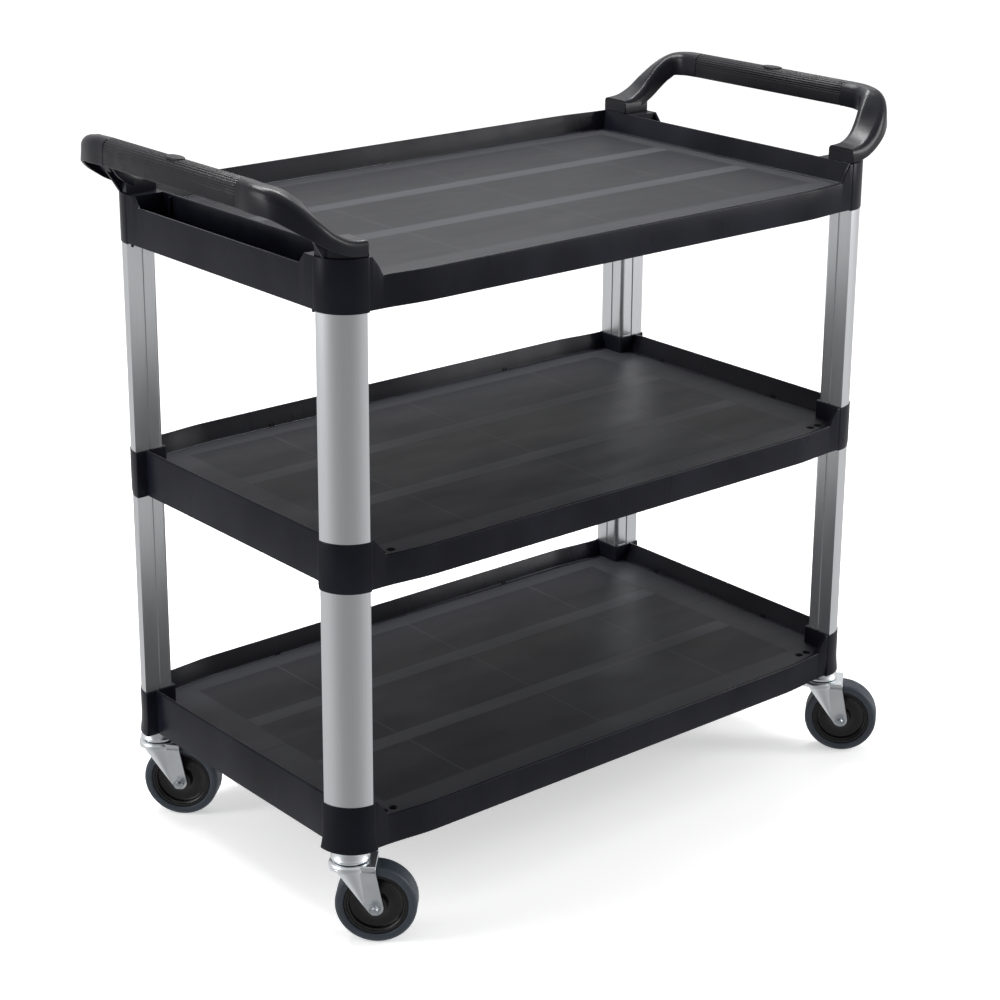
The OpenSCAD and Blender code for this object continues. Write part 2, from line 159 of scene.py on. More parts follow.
class Shape:
    """Collects the closed parts of one piece."""

    def __init__(self):
        self.verts = []
        self.faces = []

    def loft(self, rings, caps=True, closed=False):
        """Skin between rings of equal count; closed joins the last ring to the first."""
        base = len(self.verts)
        m = len(rings[0])
        for ring in rings:
            self.verts.extend(Vector(p) for p in ring)
        spans = len(rings) if closed else len(rings) - 1
        for i in range(spans):
            a = base + i * m
            b = base + ((i + 1) % len(rings)) * m
            for k in range(m):
                n = (k + 1) % m
                self.faces.append((a + k, a + n, b + n, b + k))
        if caps and not closed:
            end = base + (len(rings) - 1) * m
            self.faces.append(tuple(base + k for k in reversed(range(m))))
            self.faces.append(tuple(end + k for k in range(m)))
        return self

    def prism(self, outline, z0, z1, edge, steps=3):
        """Outline pulled from z0 to z1, its end edges rounded by shrinking it."""
        turns = [math.pi / 2 * i / steps for i in range(steps, -1, -1)]
        lower = [(z0 + edge * (1 - math.sin(t)), edge * (1 - math.cos(t))) for t in turns]
        upper = [(z0 + z1 - z, gap) for z, gap in reversed(lower)]
        return self.loft([lift(inset(outline, gap), z) for z, gap in lower + upper])

    def box(self, lo, hi):
        """Block between two opposite corners."""
        x0, y0, z0 = lo
        x1, y1, z1 = hi
        ring = [(x0, y0), (x1, y0), (x1, y1), (x0, y1)]
        return self.loft([lift(ring, z) for z in (z0, z1)])

    def plate(self, outlines, z0, z1):
        """Flat plate between two heights; the outlines after the first are its holes."""
        base = len(self.verts)
        flat = [p for outline in outlines for p in outline]
        n = len(flat)
        self.verts.extend(Vector(p) for z in (z0, z1) for p in lift(flat, z))
        loops = [[Vector(p) for p in lift(outline, 0)] for outline in outlines]
        for a, b, c in tessellate_polygon(loops):
            self.faces.append((base + a, base + b, base + c))
            self.faces.append((base + n + c, base + n + b, base + n + a))
        start = base
        for outline in outlines:
            m = len(outline)
            for k in range(m):
                a, b = start + k, start + (k + 1) % m
                self.faces.append((a, b, b + n, a + n))
            start += m
        return self

    def lathe(self, profile, steps, matrix):
        """Turns a closed (radius, height) profile about the matrix's Z axis."""
        rings = []
        for i in range(steps):
            a = 2 * math.pi * i / steps
            rings.append([matrix @ Vector((r * math.cos(a), r * math.sin(a), z))
                          for r, z in profile])
        return self.loft(rings, closed=True)

    def moved(self, matrix):
        """Places the whole shape."""
        self.verts = [matrix @ v for v in self.verts]
        return self

    def add(self, other):
        """Takes in another shape's parts."""
        base = len(self.verts)
        self.verts.extend(other.verts)
        self.faces.extend(tuple(base + k for k in f) for f in other.faces)
        return self


def inset(outline, gap):
    """Outline with every side moved in by gap; the outline runs anticlockwise."""
    if gap == 0:
        return list(outline)
    out = []
    n = len(outline)
    for i in range(n):
        p, q, r = Vector(outline[i - 1]), Vector(outline[i]), Vector(outline[(i + 1) % n])
        a, b = (q - p).normalized(), (r - q).normalized()
        na, nb = Vector((-a.y, a.x)), Vector((-b.y, b.x))
        mid = na + nb
        out.append(q + mid * (gap / max(0.3, 0.5 * mid.dot(mid))))
    return [(v.x, v.y) for v in out]


def piece(name, shape, material, stands_for=(), body=BODY, angle=32):
    mesh = bpy.data.meshes.new(name)
    mesh.from_pydata([tuple(v) for v in shape.verts], [], shape.faces)
    bm = bmesh.new()
    bm.from_mesh(mesh)
    bmesh.ops.remove_doubles(bm, verts=bm.verts, dist=1e-7)
    bmesh.ops.recalc_face_normals(bm, faces=bm.faces)
    bm.to_mesh(mesh)
    bm.free()
    mesh.polygons.foreach_set("use_smooth", [True] * len(mesh.polygons))
    mesh.set_sharp_from_angle(angle=math.radians(angle))
    mesh.materials.append(material)
    obj = bpy.data.objects.new(name, mesh)
    bpy.context.scene.collection.objects.link(obj)
    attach(obj, body)
    if stands_for:
        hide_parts(*stands_for)
    return obj


# ---------- materials ----------

class Nodes:
    """Small helper for building one material's node tree."""

    def __init__(self, name, **values):
        self.mat = bpy.data.materials.new(name)
        self.mat.use_nodes = True
        self.tree = self.mat.node_tree
        self.bsdf = self.tree.nodes["Principled BSDF"]
        for key, value in values.items():
            self.bsdf.inputs[key.replace("_", " ")].default_value = value

    def add(self, kind, **props):
        """New node with its properties set."""
        node = self.tree.nodes.new(kind)
        for key, value in props.items():
            setattr(node, key, value)
        return node

    def feed(self, socket, value):
        """Gives a socket a number, a tuple or another node's output."""
        if isinstance(value, (int, float, tuple)):
            socket.default_value = value
        else:
            self.tree.links.new(value, socket)

    def coords(self, stretch=(1, 1, 1)):
        """Object coordinates, scaled along each axis."""
        tex = self.add("ShaderNodeTexCoord")
        mapping = self.add("ShaderNodeMapping")
        mapping.inputs["Scale"].default_value = stretch
        self.feed(mapping.inputs["Vector"], tex.outputs["Object"])
        return mapping.outputs["Vector"]

    def noise(self, scale, detail=2.0, stretch=(1, 1, 1)):
        node = self.add("ShaderNodeTexNoise")
        node.inputs["Scale"].default_value = scale
        node.inputs["Detail"].default_value = detail
        self.feed(node.inputs["Vector"], self.coords(stretch))
        return node.outputs["Fac"]

    def ramp(self, value, low, high, start=0.35, end=0.65):
        """Maps a value between start and end onto low to high."""
        node = self.add("ShaderNodeMapRange")
        for socket, v in zip(node.inputs, (value, start, end, low, high)):
            self.feed(socket, v)
        return node.outputs["Result"]

    def abs_axis(self, axis):
        """Distance from the trolley's middle along one of its axes."""
        split = self.add("ShaderNodeSeparateXYZ")
        self.feed(split.inputs[0], self.coords())
        return self.math("ABSOLUTE", split.outputs[axis])

    def near(self, value, centre, half, soft):
        """One within half of the centre, fading to nothing over soft."""
        away = self.math("ABSOLUTE", self.math("SUBTRACT", value, centre))
        return self.ramp(away, 1.0, 0.0, half, half + soft)

    def spot(self, point, radius):
        """One within the radius of a point, fading out just beyond it."""
        away = self.add("ShaderNodeVectorMath", operation="DISTANCE")
        self.feed(away.inputs[0], self.coords())
        self.feed(away.inputs[1], point)
        return self.ramp(away.outputs["Value"], 1.0, 0.0, radius, 1.4 * radius)

    def mix(self, factor, a, b):
        node = self.add("ShaderNodeMix", data_type="RGBA")
        self.feed(node.inputs[0], factor)
        self.feed(node.inputs[6], (*a, 1) if isinstance(a, tuple) else a)
        self.feed(node.inputs[7], (*b, 1) if isinstance(b, tuple) else b)
        return node.outputs[2]

    def clouds(self, field, dark, pale):
        """Colour that drifts between two with a noise field."""
        return self.mix(self.ramp(field, 0.0, 1.0), dark, pale)

    def math(self, op, a, b=0.0):
        node = self.add("ShaderNodeMath", operation=op)
        self.feed(node.inputs[0], a)
        self.feed(node.inputs[1], b)
        return node.outputs["Value"]

    def bump(self, height, strength, distance):
        node = self.add("ShaderNodeBump")
        node.inputs["Strength"].default_value = strength
        node.inputs["Distance"].default_value = distance
        self.feed(node.inputs["Height"], height)
        return node.outputs["Normal"]

    def done(self, color, rough=None, normal=None):
        """Connects the shader and hands over the material."""
        sockets = {"Base Color": color, "Roughness": rough, "Normal": normal}
        for name, value in sockets.items():
            if value is not None:
                self.feed(self.bsdf.inputs[name], value)
        return self.mat


def moulded_plastic():
    """Black moulded plastic of the shelves: fine grain, faint flow marks, gate marks."""
    n = Nodes("moulded_plastic", Specular_IOR_Level=0.13)
    flow = n.noise(9.0, detail=4, stretch=(1, 1, 0.6))
    color = n.clouds(flow, (0.0032, 0.0035, 0.0066), (0.0088, 0.0092, 0.0150))
    streaks = n.noise(16, detail=4, stretch=(1, 1, 0.15))
    rough = n.ramp(streaks, 0.25, 0.37)
    marks = 0.0
    for point in GATE_MARKS:
        marks = n.math("MAXIMUM", marks, n.spot(point, GATE_R))
    rough = n.math("ADD", rough, n.math("MULTIPLY", marks, 0.3))
    height = n.math("ADD", n.noise(2600, detail=2), n.math("MULTIPLY", marks, -6.0))
    return n.done(color, rough, n.bump(height, 0.07, 0.0002))


# moulding gates on the top shelf's front wall
GATE_R = 2.2 * MM
GATE_MARKS = [(x * MM, -BELLY_Y, SHELF_LOW["top_shelf"] + 19 * MM) for x in (-225, 14)]
# lengthwise bands, border and cross lines that the underside's ribs leave on a floor; their paler
# colour is a painted sheen
BAND_Y = 78 * MM
BAND_HALF = 12 * MM
BORDER_X = 360 * MM
BORDER_Y = 207 * MM
CROSS_X = 231 * MM
LINE_HALF = 0.8 * MM
BAND_FADE = 1.5 * MM


def tray_floor():
    """Loading surface, a little greyer, with the pattern of the ribs below it painted paler as
    sheen and made a little rougher.
    """
    n = Nodes("tray_floor", Specular_IOR_Level=0.18)
    across, along = n.abs_axis(0), n.abs_axis(1)
    band = n.near(along, BAND_Y, BAND_HALF, BAND_FADE)
    band = n.math("MULTIPLY", band, n.ramp(across, 1.0, 0.0, BORDER_X, BORDER_X + BAND_FADE))
    border = n.math("MAXIMUM", n.ramp(across, 0.0, 1.0, BORDER_X, BORDER_X + BAND_FADE),
                    n.ramp(along, 0.0, 1.0, BORDER_Y, BORDER_Y + BAND_FADE))
    border = n.math("MULTIPLY", border, 0.5)
    cross = n.math("MAXIMUM", n.near(across, CROSS_X, LINE_HALF, MM),
                   n.near(across, 0.0, LINE_HALF, MM))
    cross = n.math("MULTIPLY", cross, 0.65)
    pale = n.math("MAXIMUM", n.math("MAXIMUM", band, border), cross)
    middle = n.near(along, 0.0, LINE_HALF, MM)
    # noise that drifts the floor's own tone and makes the painted sheen of the rib pattern patchy
    wear_and_sheen = n.noise(7.0, detail=4, stretch=(0.35, 1.6, 1))
    pale = n.math("MULTIPLY", pale, n.ramp(wear_and_sheen, 0.75, 1.0))
    base = n.clouds(wear_and_sheen, (0.0080, 0.0083, 0.0118), (0.0118, 0.0122, 0.0160))
    # the rib pattern is a real mark, a little rougher; its paler colour here is painted sheen
    color = n.mix(pale, base, (0.045, 0.046, 0.053))
    color = n.mix(n.math("MULTIPLY", middle, 0.5), color, (0.005, 0.005, 0.006))
    rough = n.ramp(n.noise(14, detail=4, stretch=(0.5, 1.3, 1)), 0.46, 0.54)
    rough = n.math("ADD", rough, n.math("MULTIPLY", pale, 0.04))
    height = n.math("SUBTRACT", n.noise(2200, detail=2), n.math("MULTIPLY", middle, 2.0))
    return n.done(color, rough, n.bump(height, 0.08, 0.0002))


def handle_plastic():
    """Glossier black plastic of the handles."""
    n = Nodes("handle_plastic", Specular_IOR_Level=0.27)
    flow = n.noise(6.0, detail=3)
    color = n.clouds(flow, (0.0042, 0.0045, 0.0080), (0.0070, 0.0073, 0.0112))
    rough = n.ramp(n.noise(50, detail=4), 0.29, 0.33)
    grain = n.noise(2800, detail=2)
    return n.done(color, rough, n.bump(grain, 0.015, 0.0001))


def brushed_aluminium():
    """Satin anodised aluminium, drawn along its length."""
    n = Nodes("brushed_aluminium", Metallic=1.0, Anisotropic=0.2)
    lines = n.noise(2600, detail=2, stretch=(1, 1, 0.004))
    color = n.clouds(lines, (0.68, 0.69, 0.71), (0.73, 0.74, 0.76))
    rough = n.ramp(n.noise(24, detail=4, stretch=(1, 1, 0.10)), 0.33, 0.38)
    return n.done(color, rough, n.bump(lines, 0.02, 0.0001))


def bright_zinc():
    """Bright zinc plate of the castor forks."""
    n = Nodes("bright_zinc", Metallic=1.0)
    cloud = n.noise(30, detail=3)
    color = n.clouds(cloud, (0.82, 0.85, 0.88), (0.89, 0.92, 0.94))
    rough = n.ramp(n.noise(60, detail=3), 0.28, 0.34)
    return n.done(color, rough, n.bump(n.noise(900, detail=2), 0.005, 0.0001))


def plain_steel():
    """Duller steel of the nuts, bolts and balls."""
    n = Nodes("plain_steel", Metallic=1.0)
    cloud = n.noise(120, detail=4)
    color = n.clouds(cloud, (0.48, 0.52, 0.56), (0.60, 0.63, 0.66))
    rough = n.ramp(n.noise(300, detail=3), 0.26, 0.40)
    return n.done(color, rough, n.bump(n.noise(700, detail=3), 0.06, 0.0002))


def painted_shade_steel():
    """Ball ring, painted near black to stand for the shade in the gap between the race and the
    crown.
    """
    n = Nodes("painted_shade_steel", Metallic=0.6)
    cloud = n.noise(140, detail=4)
    # near-black colour is painted shade: the ring stands in for the dark gap under the race
    color = n.clouds(cloud, (0.030, 0.031, 0.033), (0.060, 0.060, 0.060))
    rough = n.ramp(n.noise(260, detail=3), 0.28, 0.42)
    return n.done(color, rough, n.bump(n.noise(800, detail=3), 0.05, 0.0002))


def hub_plastic():
    """Very dark brown wheel centre, with fine turned rings."""
    n = Nodes("hub_plastic", Specular_IOR_Level=0.5)
    cloud = n.noise(30, detail=4)
    color = n.clouds(cloud, (0.0045, 0.0040, 0.0050), (0.0085, 0.0065, 0.0075))
    rough = n.ramp(n.noise(90, detail=4), 0.24, 0.36)
    return n.done(color, rough, n.bump(n.noise(1500, detail=2), 0.08, 0.0002))


def grey_tread():
    """Slate grey non-marking rubber."""
    n = Nodes("grey_tread", Specular_IOR_Level=0.45)
    cloud = n.noise(26, detail=5)
    color = n.clouds(cloud, (0.024, 0.033, 0.045), (0.032, 0.042, 0.056))
    rough = n.ramp(n.noise(80, detail=4), 0.46, 0.60)
    return n.done(color, rough, n.bump(n.noise(1600, detail=3), 0.12, 0.0002))


def grip_plastic():
    """Duller plastic of the grip sleeves."""
    n = Nodes("grip_plastic", Specular_IOR_Level=0.22)
    flow = n.noise(9.0, detail=3)
    color = n.clouds(flow, (0.0060, 0.0060, 0.0085), (0.0100, 0.0100, 0.0130))
    rough = n.ramp(n.noise(70, detail=4), 0.38, 0.50)
    grain = n.noise(2400, detail=2)
    return n.done(color, rough, n.bump(grain, 0.10, 0.0002))


SHELF_PLASTIC = moulded_plastic()
GRIP_PLASTIC = grip_plastic()
TRAY_FLOOR = tray_floor()
HANDLE_PLASTIC = handle_plastic()
ALUMINIUM = brushed_aluminium()
ZINC = bright_zinc()
STEEL = plain_steel()
# steel painted dark as the shade in the race's gap
PAINTED_SHADE_STEEL = painted_shade_steel()
HUB = hub_plastic()
TREAD = grey_tread()


# ---------- shelves ----------

RIM_R = 2.2 * MM
RIM_INNER_R = 0.9 * MM
HEM_R = 0.8 * MM
FILLET_R = 3.0 * MM
TROUGH_RIM_R = 1.0 * MM


def wall_profile(h, lean):
    """Closed section of a shelf wall, as (distance in from the outer face, height)."""
    rise = h - FLOOR_H
    foot = WALL + lean * rise
    fillet = min(FILLET_R, 0.7 * rise)
    pts = arc(HEM_R, WALL_LIFT + HEM_R, HEM_R, 270, 180, 3)
    pts += arc(RIM_R, h - RIM_R, RIM_R, 180, 90, 4)
    pts += arc(WALL - RIM_INNER_R, h - RIM_INNER_R, RIM_INNER_R, 90, 20, 4)
    for i in range(6):
        t = i / 5
        pts.append((foot - fillet * lean + fillet * (lean + 1) * t * t,
                    FLOOR_H + fillet * (1 - t) ** 2))
    return pts + [(foot + fillet, FLOOR_H - 0.5 * FLOOR_T), (foot, FLOOR_H - FLOOR_T),
                  (WALL, FLOOR_H - FLOOR_T), (WALL, WALL_LIFT + HEM_R),
                  (WALL - HEM_R, WALL_LIFT)]


def wall_loft(shape, path, z, heights, lean):
    """Walls along path, a list of (point, inward direction)."""
    rings = []
    for (p, inward), h in zip(path, heights):
        rings.append([(p[0] + inward[0] * d, p[1] + inward[1] * d, z + up)
                      for d, up in wall_profile(h, lean)])
    shape.loft(rings)


def front_height(x, tall):
    """Height of the front wall: the low lip, with a slope up to each collar."""
    t = (abs(x) - LIP_SLOPE_FOOT) / (LIP_SLOPE_TOP - LIP_SLOPE_FOOT)
    t = min(1.0, max(0.0, t))
    eased = t * t / (t * t + 0.10 * (1 - t)) if t < 1 else 1.0
    return LIP_H + (tall - LIP_H) * (0.25 * eased + 0.75 * t)


def long_stations():
    """Distances along a long side, closer where the outline bends."""
    half = [LONG_REACH, LIP_SLOPE_TOP + 0.5 * MM, LIP_SLOPE_TOP]
    for start, end, steps in ((LIP_SLOPE_TOP, LIP_SLOPE_FOOT, 12),
                              (LIP_SLOPE_FOOT, SWELL_TO, 20)):
        half += [start + (end - start) * i / steps for i in range(1, steps + 1)]
    half += [SWELL_TO * (1 - i / 8) for i in range(1, 8)]
    return half + [0.0] + [-x for x in reversed(half)]


def long_walls(shape, z, tall):
    """The low front wall and the full back wall."""
    xs = long_stations()
    for side in (-1, 1):
        path = [((x, side * side_y(x)), (0, -side)) for x in xs]
        heights = [front_height(x, tall) if side < 0 else tall for x in xs]
        wall_loft(shape, path, z, heights, SIDE_LEAN)


def end_walls(shape, z, tall, outer_x):
    """The straight walls at both ends."""
    for side in (-1, 1):
        path = [((side * outer_x, y), (-side, 0)) for y in (-END_REACH, END_REACH)]
        wall_loft(shape, path, z, [tall, tall], END_LEAN)


def collar_outline(grow=0.0):
    """Plan of a collar in a corner's own frame."""
    r = POST_LEG + COLLAR_PROUD + grow
    back = -COLLAR_PAST - grow
    pts = arc(0, 0, r, 0, 90, 24)
    pts += arc(back + 1.0 * MM, r - 1.0 * MM, 1.0 * MM, 90, 180, 3)
    pts += arc(back + 3.0 * MM, back + 3.0 * MM, 3.0 * MM, 180, 270, 5)
    pts += arc(r - 1.0 * MM, back + 1.0 * MM, 1.0 * MM, 270, 360, 3)
    return pts


def collars(shape, z, tall, foot):
    """Corner collars; foot is a list of (height, growth) rings at the lower end."""
    edge = 1.0 * MM
    rings = foot + [(tall - edge, 0.0), (tall - 0.5 * edge, -0.13 * edge), (tall, -0.6 * edge)]
    for sx, sy in CORNERS.values():
        part = Shape()
        part.loft([lift(collar_outline(grow), z + up) for up, grow in rings])
        shape.add(part.moved(corner_frame(sx, sy)))


RIB_H = 10 * MM
RIB_HALF = 1.5 * MM
RIB_ROWS = [y * MM for y in (-165, -55, 55, 165)]
RIB_CROSSES = [x * MM for x in (-200, 0, 200)]


def ribs(shape, z, reach_x):
    """Grid of stiffening ribs under the floor."""
    under = z + FLOOR_H - FLOOR_T
    for y in RIB_ROWS:
        shape.box((-reach_x, y - RIB_HALF, under - RIB_H),
                  (reach_x, y + RIB_HALF, under + RIB_HALF))
    reach_y = SWELL_ROOT_Y - WALL + 1 * MM
    for x in RIB_CROSSES:
        shape.box((x - RIB_HALF, -reach_y, under - RIB_H + RIB_HALF),
                  (x + RIB_HALF, reach_y, under + RIB_HALF))


def floor_plate(z, end_x, holes):
    """Loading surface, cut to just under the feet of the walls, with its drains open."""
    xs = [x for x in long_stations() if abs(x) <= SWELL_FROM]
    back_foot = WALL + SIDE_LEAN * WALL_RISE
    upper = [(x, side_y(x) - back_foot) for x in xs]
    lower = [(x, -side_y(x) + WALL) for x in reversed(xs)]
    under_collar = 2 * MM
    notch_x = POST_CX - COLLAR_PAST + under_collar
    notch_y = POST_CY - COLLAR_PAST + under_collar
    end = end_x - WALL - END_LEAN * WALL_RISE
    left = [(-notch_x, side_y(notch_x) - back_foot), (-notch_x, notch_y), (-end, notch_y),
            (-end, -notch_y), (-notch_x, -notch_y), (-notch_x, WALL - side_y(notch_x))]
    right = [(-x, y) for x, y in reversed(left)]
    top = z + FLOOR_H
    return Shape().plate([upper + left + lower + right] + holes, top - FLOOR_T, top)


DRAIN_R = 5.8 * MM
DRAIN_DEEP = 10 * MM
DRAIN_WALL = 1.4 * MM
DRAIN_Y = 227 * MM
DRAINS = [x * MM for x in (-377, -362, 362, 377)]
PIP_X = 208 * MM
PIP_YS = [y * MM for y in (-100, 128)]
PIP_GAP = 2.6 * MM
# distance that the pips stand down a leaning wall
PIP_DOWN = 3.0 * MM
# (height, radius) of the rings of a pip, and of a peg
PIP_RINGS = in_mm([(-1, 1.6), (3.6, 1.5), (4.4, 1.1), (4.8, 0.5)])
PEG_RINGS = in_mm([(6.0, 1.9), (-2.2, 1.9), (-2.9, 1.4), (-3.2, 0.6)])


def sleeve(shape, x, z):
    """Short tube below a drain."""
    top = z + FLOOR_H - 0.3 * MM
    outer = DRAIN_R + DRAIN_WALL
    profile = [(DRAIN_R, top), (DRAIN_R, top - DRAIN_DEEP), (outer, top - DRAIN_DEEP),
               (outer, top)]
    shape.lathe(profile, 28, Matrix.Translation((x, -DRAIN_Y, 0)))


def pip_pair(shape, p, inward):
    """Two small moulded pips side by side at the foot of a wall."""
    for off in (-PIP_GAP, PIP_GAP):
        cx, cy = p[0] + inward[1] * off, p[1] + inward[0] * off
        shape.loft([lift(circle(cx, cy, r, 14), p[2] + up) for up, r in PIP_RINGS])


def pips(shape, z, end_x):
    """Pairs of pips along the back wall and both end walls."""
    rise = WALL_RISE - PIP_DOWN
    for x in (-PIP_X, PIP_X):
        pip_pair(shape, (x, BELLY_Y - WALL - SIDE_LEAN * rise, z + FLOOR_H), (0, -1))
    foot = end_x - WALL - END_LEAN * rise
    for side in (-1, 1):
        for y in PIP_YS:
            pip_pair(shape, (side * foot, y, z + FLOOR_H), (-side, 0))


def lower_shelf(name, foot):
    """Bottom or middle shelf: tray and loading surface."""
    z = SHELF_LOW[name]
    tall = SHELF_TALL[name]
    shape = Shape()
    long_walls(shape, z, tall)
    end_walls(shape, z, tall, END_X)
    collars(shape, z, tall, foot)
    ribs(shape, z, END_X - 2 * WALL)
    pips(shape, z, END_X)
    for x in DRAINS:
        sleeve(shape, x, z)
    holes = [circle(x, -DRAIN_Y, DRAIN_R, 20) for x in DRAINS]
    piece(name + "_tray", shape, SHELF_PLASTIC, [name])
    piece(name + "_floor", floor_plate(z, END_X, holes), TRAY_FLOOR)


TROUGH_OUT = 404 * MM
TROUGH_FLOOR = 6 * MM
TROUGH_LIP = 51 * MM
TROUGH_HALF = 182 * MM
TROUGH_SLOPE = 10 * MM
TROUGH_RIB = 4 * MM
TROUGH_RIB_HALF = 1.3 * MM
TROUGH_RIB_Y = 161 * MM
# overlap that welds the trough's parts together
LAP = 1 * MM


def trough_section(h):
    """Closed section of a trough's outer wall, as (distance from the middle, height)."""
    r = TROUGH_RIM_R
    section = arc(TOP_END_X - HEM_R, WALL_LIFT + HEM_R, HEM_R, -90, 0, 3)
    section += arc(TOP_END_X - r, h - r, r, 0, 90, 4)
    section += arc(TOP_END_X - WALL + r, h - r, r, 90, 180, 4)
    return section + [(TOP_END_X - WALL, WALL_LIFT)]


def trough(shape, z, tall):
    """Open trough at each end, between a low outer wall and the tall inner one."""
    slope_foot = TROUGH_HALF - TROUGH_SLOPE
    stations = [(END_REACH, tall), (TROUGH_HALF + 1 * MM, tall), (TROUGH_HALF, tall),
                (slope_foot, TROUGH_LIP + 1 * MM), (slope_foot - 2 * MM, TROUGH_LIP)]
    stations += [(-y, h) for y, h in reversed(stations)]
    far = SWELL_ROOT_Y - 2 * MM
    for side in (-1, 1):
        shape.loft([[(side * x, y, z + up) for x, up in trough_section(h)]
                    for y, h in stations])
        for span in ((-far, -END_REACH), (-END_REACH, END_REACH), (END_REACH, far)):
            path = [((side * TROUGH_OUT, y), (-side, 0)) for y in span]
            wall_loft(shape, path, z, [tall, tall], END_LEAN)
        x0, x1 = sorted((side * (TROUGH_OUT - LAP), side * (TROUGH_OUT + TROUGH_RIB)))
        for y in (-TROUGH_RIB_Y, TROUGH_RIB_Y):
            shape.box((x0, y - TROUGH_RIB_HALF, z + TROUGH_FLOOR - LAP),
                      (x1, y + TROUGH_RIB_HALF, z + tall - 3 * MM))
        x0, x1 = sorted((side * (TROUGH_OUT - LAP), side * (TOP_END_X - LAP)))
        shape.box((x0, -END_REACH, z + WALL_LIFT), (x1, END_REACH, z + TROUGH_FLOOR))
        for end in (-1, 1):
            y0, y1 = sorted((end * TROUGH_HALF, end * END_REACH))
            shape.box((x0, y0, z + TROUGH_FLOOR), (x1, y1, z + tall - 0.3 * MM))


def pegs(shape, z):
    """Small moulded pegs that hang below the end walls beside each collar."""
    for sx, sy in CORNERS.values():
        x, y = sx * (POST_X - 3.5 * MM), sy * (POST_CY - COLLAR_PAST - 5 * MM)
        shape.loft([lift(circle(x, y, r, 16), z + up) for up, r in PEG_RINGS])


def top_shelf():
    """Top shelf: tray with its end troughs, and loading surface."""
    name = "top_shelf"
    z = SHELF_LOW[name]
    tall = SHELF_TALL[name]
    shape = Shape()
    long_walls(shape, z, tall)
    trough(shape, z, tall)
    collars(shape, z, tall, [(0.0, -0.8 * MM), (0.4 * MM, -0.2 * MM), (1.2 * MM, 0.0)])
    ribs(shape, z, TROUGH_OUT - WALL)
    pegs(shape, z)
    piece("top_shelf_tray", shape, SHELF_PLASTIC, [name])
    piece("top_shelf_floor", floor_plate(z, TROUGH_OUT, []), TRAY_FLOOR)


# ---------- handles ----------

GRIP_W = 27 * MM
GRIP_H = 33 * MM
PAD_H = 1 * MM
GRIP_X = high("handle_right", 0) - 14.3 * MM
GRIP_Z = high("handle_right", 2) - PAD_H - GRIP_H / 2
SLEEVE_HALF = 141 * MM
SHELL_T = 4 * MM
# half of the centreline from the foot to the grip: place, width, height, rounding of the
# upper edges and depth of the hollow below
HANDLE = [
    ((385 * MM, 222 * MM, TOP_Z + 9.5 * MM), 44, 19, 5, 0.2),
    ((400 * MM, 222 * MM, TOP_Z + 9.5 * MM), 44, 19, 6, 0.2),
    ((424 * MM, 222 * MM, TOP_Z + 13 * MM), 44, 19, 9, 0.2),
    ((445 * MM, 220 * MM, TOP_Z + 23.5 * MM), 43, 20, 10, 4),
    ((463 * MM, 215.5 * MM, TOP_Z + 39 * MM), 42, 24, 10.5, 8),
    ((478.5 * MM, 206.5 * MM, TOP_Z + 54.5 * MM), 39, 28, 11, 9),
    ((491 * MM, 193 * MM, GRIP_Z - 4 * MM), 33, 31, 12, 9),
    ((GRIP_X, 172 * MM, GRIP_Z - 1 * MM), 28, 33, 12, 6),
    ((GRIP_X, 150 * MM, GRIP_Z), 27, 33, 12, 0.4),
    ((GRIP_X, 142 * MM, GRIP_Z), 27, 33, 12, 0.2),
    ((GRIP_X, 125 * MM, GRIP_Z), 27, 33, 12, 0.2),
]
HANDLE_STEPS = 9
FOOT_BEVEL = 1.6 * MM
FOOT_LEAN = 0.22
# block on the post collar, and web from it to the arm as (distance from the middle, height)
FOOT_TALL = 15 * MM
FOOT_SINK = 0.3 * MM
WEB = in_mm([(440, 0), (445.5, 0), (464, 29), (440, 18)])
WEB_YS = (214 * MM, 218 * MM)


def spline(a, b, c, d, t):
    """Catmull-Rom value between b and c."""
    return 0.5 * (2 * b + (c - a) * t + (2 * a - 5 * b + 4 * c - d) * t * t
                  + (3 * b - a - 3 * c + d) * t ** 3)


def handle_stations():
    """Centreline points with the section's width, height, rounding and hollow."""
    rows = [(*place, *(v * MM for v in section)) for place, *section in HANDLE]
    out = []
    for i in range(1, len(rows) - 2):
        for j in range(HANDLE_STEPS):
            t = j / HANDLE_STEPS
            out.append([spline(*(rows[i + k][q] for k in (-1, 0, 1, 2)), t) for q in range(7)])
    end = list(rows[-2])
    out.append(end)
    for y, shrink in ((SLEEVE_HALF + 0.5 * MM, 0.5 * MM), (SLEEVE_HALF + 0.4 * MM, 2.4 * MM),
                      (0.0, 2.4 * MM)):
        out.append([end[0], y, end[2], end[3] - shrink, end[4] - shrink, end[5], 0.2 * MM])
    return out


def handle_section(w, h, r, hollow):
    """Rounded section, open below by the depth of its hollow."""
    low_r = 1.6 * MM
    half, foot = w / 2, -h / 2
    inner = half - SHELL_T
    pts = [(inner, foot)] + arc(half - low_r, foot + low_r, low_r, 270, 360, 3)
    pts += arc(half - r, -foot - r, r, 0, 90, 9)
    pts += arc(-half + r, -foot - r, r, 90, 180, 9)
    pts += arc(-half + low_r, foot + low_r, low_r, 180, 270, 3)
    return pts + [(-inner, foot), (-inner, foot + hollow), (inner, foot + hollow)]


def place_section(section, p, heading):
    """Section set square across a heading at a point."""
    side = Vector((heading.y, -heading.x, 0)).normalized()
    up = side.cross(heading)
    return [p + side * x + up * y for x, y in section]


def mirrored(rings):
    """Rings followed by their mirror images across the trolley's middle."""
    return rings + [[Vector((p.x, -p.y, p.z)) for p in ring] for ring in reversed(rings[:-1])]


